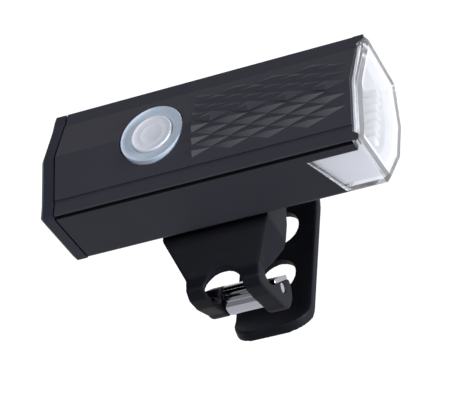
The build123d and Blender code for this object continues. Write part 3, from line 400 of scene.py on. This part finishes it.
def softened(name, width, crease=smooth_angle):
    """The node's own shape with its sharp edges rounded."""
    bm = merged(name)
    sharp = [edge for edge in bm.edges
             if len(edge.link_faces) == 2 and edge.calc_face_angle(0.0) > radians(crease_angle)]
    bevelled(bm, sharp, width, round_steps)
    return put_in_place(name + "_finished", bm, finishes[slot_of[name]], name, crease=crease)


def ledge_painted_seam_shade(piece):
    """The ledge under the cover's overhang takes the seam's near-black finish as painted shade."""
    piece.data.materials.append(finishes["gasket"])
    top = max(corner.co.z for corner in piece.data.vertices)
    for face in piece.data.polygons:
        if face.center.z > top - painted_shade_ledge_depth:
            face.material_index = 1


def body_shells():
    """The tub, the cover, whose diamonds keep their flat facets, and the rear cap."""
    # The tub's top ledge is painted near-black: painted shade under the cover's overhang
    ledge_painted_seam_shade(softened("lower_housing", shell_round))
    softened("upper_cover", cover_round, crease=facet_angle)
    softened("rear_cap", shell_round)


def front():
    """The lens and the bezel inside it."""
    softened("front_lens", lens_round)
    softened("bezel", metal_round)


def fittings():
    """The hook and its pin, the charging port's cover and the cap screws."""
    softened("strap_hook", metal_round)
    softened("usb_cover", metal_round)
    softened("rear_screws", screw_round)
    softened("hook_pin", metal_round)


body_shells()
front()
fittings()


# Rubber mount

def worn_rubber(name):
    """The node's shape as moulded rubber: an even net of small faces whose edges are worn round."""
    draft = mesh_piece(name + "_draft", merged(name))
    net = draft.modifiers.new("net", "REMESH")
    net.mode = "VOXEL"
    net.voxel_size = rubber_cell
    net.adaptivity = 0.0
    wear = draft.modifiers.new("wear", "SMOOTH")
    wear.factor = rubber_ease
    wear.iterations = rubber_passes
    bpy.context.view_layer.update()
    worn = draft.evaluated_get(bpy.context.evaluated_depsgraph_get())
    bm = bmesh.new()
    bm.from_mesh(worn.data)
    mesh = draft.data
    bpy.data.objects.remove(draft)
    bpy.data.meshes.remove(mesh)
    return bm


def rubber_mount():
    """The saddle and the strap, which rides with no body."""
    put_in_place("saddle_finished", worn_rubber("saddle"), finishes["rubber"], "saddle")
    piece = put_in_place("strap_finished", worn_rubber("strap"), finishes["rubber"], "strap", rides=False)
    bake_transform(piece)


rubber_mount()


# Button

def turned(name, profile, finish, node, centre):
    """A round piece turned about an upright axis, from a closed profile of radii and heights."""
    bm = bmesh.new()
    ring = [bm.verts.new((centre.x + radius, centre.y, height)) for radius, height in profile]
    edges = [bm.edges.new((ring[i], ring[(i + 1) % len(ring)])) for i in range(len(ring))]
    bmesh.ops.spin(bm, geom=ring + edges, cent=centre, axis=(0, 0, 1), angle=2 * pi, steps=turning_steps,
                   use_merge=True)
    bmesh.ops.remove_doubles(bm, verts=bm.verts, dist=weld)
    bmesh.ops.recalc_face_normals(bm, faces=bm.faces)
    put_in_place(name, bm, finish, node)


def button():
    """The frosted button: a ring with a fine raised rim, and a flat cap with a round edge and a dish."""
    low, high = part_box("button_skirt")
    centre = (low + high) / 2
    ledge = low.z + flange_height
    profile = [(ring_bore, low.z), (flange_radius, low.z), (flange_radius, ledge), (ring_outside, ledge)]
    profile += [(radius, high.z - drop) for radius, drop in ring_face]
    turned("button_ring_finished", profile, finishes["button_ring"], "button_skirt", centre)
    low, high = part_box("button_cap")
    under = high.z - cap_height
    profile = [(0, low.z), (stem_radius, low.z), (stem_radius, under), (cap_radius, under)]
    profile += [(radius, high.z - drop) for radius, drop in cap_face]
    turned("button_cap_finished", profile, finishes["button"], "button_cap", centre)


button()


# Optic

def optic_bars():
    """Short rounded bars that stand forward from the optic's face, side by side, in a milky white that is
    painted highlight.
    """
    low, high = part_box("optic")
    pitch = (high.y - low.y) / bar_count - bar_margin
    front_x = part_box("bezel")[1].x - bar_setback
    back_x = high.x - bar_root
    bm = bmesh.new()
    for number in range(bar_count):
        across = (number - (bar_count - 1) / 2) * pitch
        size = Matrix.Diagonal((front_x - back_x, pitch - bar_gap, bar_height, 1.0))
        place = Matrix.Translation(((front_x + back_x) / 2, across, (low.z + high.z) / 2 - bar_drop))
        bar = bmesh.ops.create_cube(bm, size=1.0, matrix=place @ size)
        edges = list({edge for corner in bar["verts"] for edge in corner.link_edges})
        bevelled(bm, edges, bar_round, bar_round_steps)
    # Their white finish is painted highlight of the clear fins
    piece = mesh_piece("optic_bars", bm, finishes["bars"])
    piece.data.shade_smooth()
    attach(piece, body_of["optic"])


optic_bars()


# Floor, surround, lamps and camera

def by_ray(tree, strengths):
    """The strength given for the kind of ray that meets a surface, or the highest if it is of several."""
    path = tree.nodes.new("ShaderNodeLightPath")
    level = None
    for kind, strength in strengths.items():
        part = tree.nodes.new("ShaderNodeMath")
        part.operation = "MULTIPLY"
        part.inputs[1].default_value = strength
        tree.links.new(path.outputs[kind], part.inputs[0])
        if level is None:
            level = part.outputs[0]
            continue
        most = tree.nodes.new("ShaderNodeMath")
        most.operation = "MAXIMUM"
        tree.links.new(level, most.inputs[0])
        tree.links.new(part.outputs[0], most.inputs[1])
        level = most.outputs[0]
    return level


def floor_paper():
    """Pale paper that shows as white to the camera, glass and metal, and keeps part of its own shading."""
    material = bpy.data.materials.new("floor_paper")
    material.use_nodes = True
    tree = material.node_tree
    shader = tree.nodes["Principled BSDF"]
    shader.inputs["Base Color"].default_value = with_alpha(floor_colour)
    shader.inputs["Roughness"].default_value = 1.0
    glow = tree.nodes.new("ShaderNodeEmission")
    glow.inputs["Color"].default_value = with_alpha(white)
    glow.inputs["Strength"].default_value = 1 / (1 - floor_shade)
    mix = tree.nodes.new("ShaderNodeMixShader")
    tree.links.new(by_ray(tree, dict.fromkeys(floor_rays, 1 - floor_shade)), mix.inputs["Fac"])
    tree.links.new(shader.outputs[0], mix.inputs[1])
    tree.links.new(glow.outputs[0], mix.inputs[2])
    tree.links.new(mix.outputs[0], tree.nodes["Material Output"].inputs["Surface"])
    return material


def floor():
    """A plain pale floor below the object."""
    bm = bmesh.new()
    bmesh.ops.create_grid(bm, x_segments=1, y_segments=1, size=floor_half)
    bmesh.ops.translate(bm, verts=bm.verts, vec=(0, 0, cad_box[0][2] - floor_drop))
    piece = mesh_piece("floor", bm, floor_paper())


def surround():
    """A white surround, which lights the object less than it shows."""
    world = bpy.data.worlds.new("surround")
    bpy.context.scene.world = world
    world.use_nodes = True
    tree = world.node_tree
    back = tree.nodes["Background"]
    back.inputs["Color"].default_value = with_alpha(white)
    tree.links.new(by_ray(tree, room_strengths), back.inputs["Strength"])


def direction(azimuth, elevation):
    """The way from the object to a lamp or camera that stands at these angles, in degrees."""
    azimuth, elevation = radians(azimuth), radians(elevation)
    return Vector((sin(azimuth) * cos(elevation), -cos(azimuth) * cos(elevation), sin(elevation)))


def soft_lamp(name, azimuth, elevation, distance, width, power, mirrored):
    """A square lamp that faces the object from a given side."""
    data = bpy.data.lights.new(name, "AREA")
    data.shape = "SQUARE"
    data.size = width
    data.energy = power
    towards = direction(azimuth, elevation)
    lamp = placed(name, data)
    lamp.visible_transmission = False
    lamp.visible_glossy = mirrored
    lamp.location = camera_aim + towards * distance
    lamp.rotation_euler = towards.to_track_quat("Z", "Y").to_euler()


def camera():
    """The photograph's view."""
    data = bpy.data.cameras.new("camera")
    data.lens = camera_lens
    data.clip_start = camera_near
    data.clip_end = camera_far
    back = direction(camera_azimuth, camera_elevation)
    level = Vector((cos(radians(camera_azimuth)), sin(radians(camera_azimuth)), 0))
    rise = back.cross(level)
    roll = radians(camera_roll)
    right = level * cos(roll) - rise * sin(roll)
    up = level * sin(roll) + rise * cos(roll)
    turn = Matrix((right, up, back)).transposed().to_4x4()
    shot = placed("camera", data)
    shot.matrix_world = Matrix.Translation(camera_aim + back * camera_distance) @ turn
    bpy.context.scene.camera = shot


floor()
surround()
camera()
for name, settings in lamps.items():
    soft_lamp(name, **settings)
bpy.context.scene.view_settings.view_transform = "Standard"
